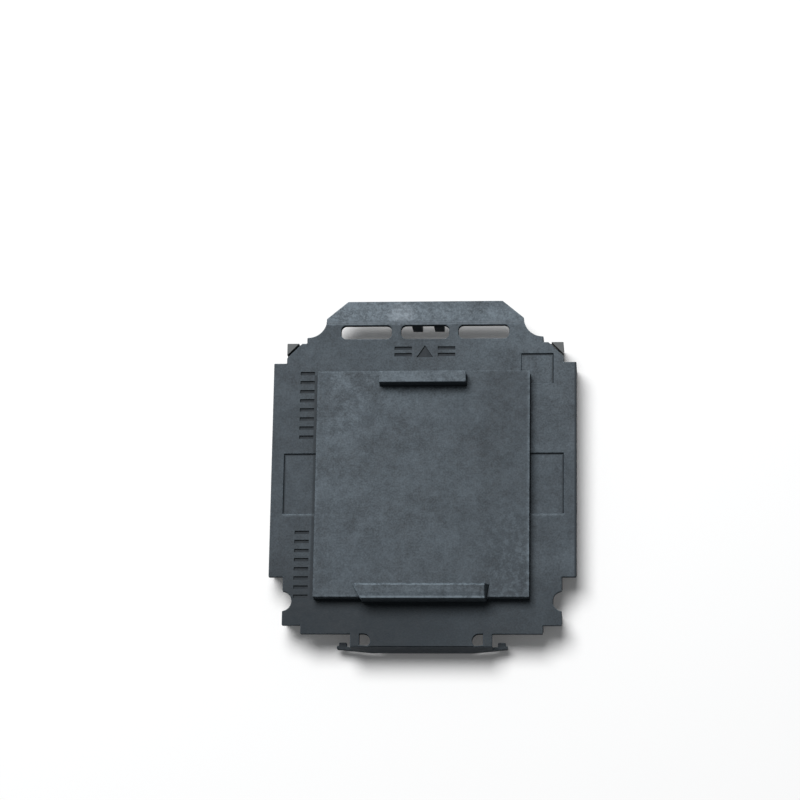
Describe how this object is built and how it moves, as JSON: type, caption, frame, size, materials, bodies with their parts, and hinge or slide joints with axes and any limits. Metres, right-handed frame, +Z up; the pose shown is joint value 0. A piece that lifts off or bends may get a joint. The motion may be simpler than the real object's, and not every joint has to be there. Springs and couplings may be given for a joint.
{
  "type": "cpu socket",
  "caption": "Square land grid CPU socket for soldering to a board: moulded housing with sprung gold contacts over solder balls, closed by a black lift-off pick-up cap.",
  "frame": {"origin": "middle of the contact grid, on the board plane that the standoff feet and the solder balls touch", "axes": "+Z up, away from the board; +Y towards the cap's finger tab; +X to the right seen from above with the tab at the far end"},
  "size_m": [0.0426, 0.0495, 0.0092],
  "materials": {
    "housing_plastic": "fine-grained glass-filled liquid crystal polymer, brownish black",
    "cap_plastic": "grained heat-resistant nylon, slate grey-black, slightly dusty",
    "contact_gold": "gold-plated copper alloy strip",
    "solder": "satin tin-silver solder"
  },
  "bodies": {
    "socket": {"socket_housing": "housing_plastic", "contacts_rows_a_b": "contact_gold", "contacts_rows_c_d": "contact_gold", "contacts_rows_e_f": "contact_gold", "contacts_rows_g_h": "contact_gold", "contacts_rows_j_k": "contact_gold", "contacts_rows_l_m": "contact_gold", "contacts_rows_n_p": "contact_gold", "contacts_rows_r_t": "contact_gold", "contacts_rows_u_v": "contact_gold", "contacts_rows_w_y": "contact_gold", "contacts_rows_aa_ab": "contact_gold", "contacts_rows_ac_ad": "contact_gold", "contacts_rows_ae_af": "contact_gold", "contacts_rows_ag_ah": "contact_gold", "contacts_rows_aj_ak": "contact_gold", "contacts_rows_al_am": "contact_gold", "contacts_rows_an_ap": "contact_gold", "contacts_rows_ar_at": "contact_gold", "contacts_rows_au_av": "contact_gold", "contacts_rows_aw_ay": "contact_gold", "solder_balls_rows_a_b": "solder", "solder_balls_rows_c_d": "solder", "solder_balls_rows_e_f": "solder", "solder_balls_rows_g_h": "solder", "solder_balls_rows_j_k": "solder", "solder_balls_rows_l_m": "solder", "solder_balls_rows_n_p": "solder", "solder_balls_rows_r_t": "solder", "solder_balls_rows_u_v": "solder", "solder_balls_rows_w_y": "solder", "solder_balls_rows_aa_ab": "solder", "solder_balls_rows_ac_ad": "solder", "solder_balls_rows_ae_af": "solder", "solder_balls_rows_ag_ah": "solder", "solder_balls_rows_aj_ak": "solder", "solder_balls_rows_al_am": "solder", "solder_balls_rows_an_ap": "solder", "solder_balls_rows_ar_at": "solder", "solder_balls_rows_au_av": "solder", "solder_balls_rows_aw_ay": "solder"},
    "cap": {"pickup_cap": "cap_plastic"}
  },
  "joints": [
    {"name": "cap_lift", "type": "slide", "parent": "socket", "child": "cap", "axis": [0, 0, 1], "range_m": [0, 0.025]}
  ]
}
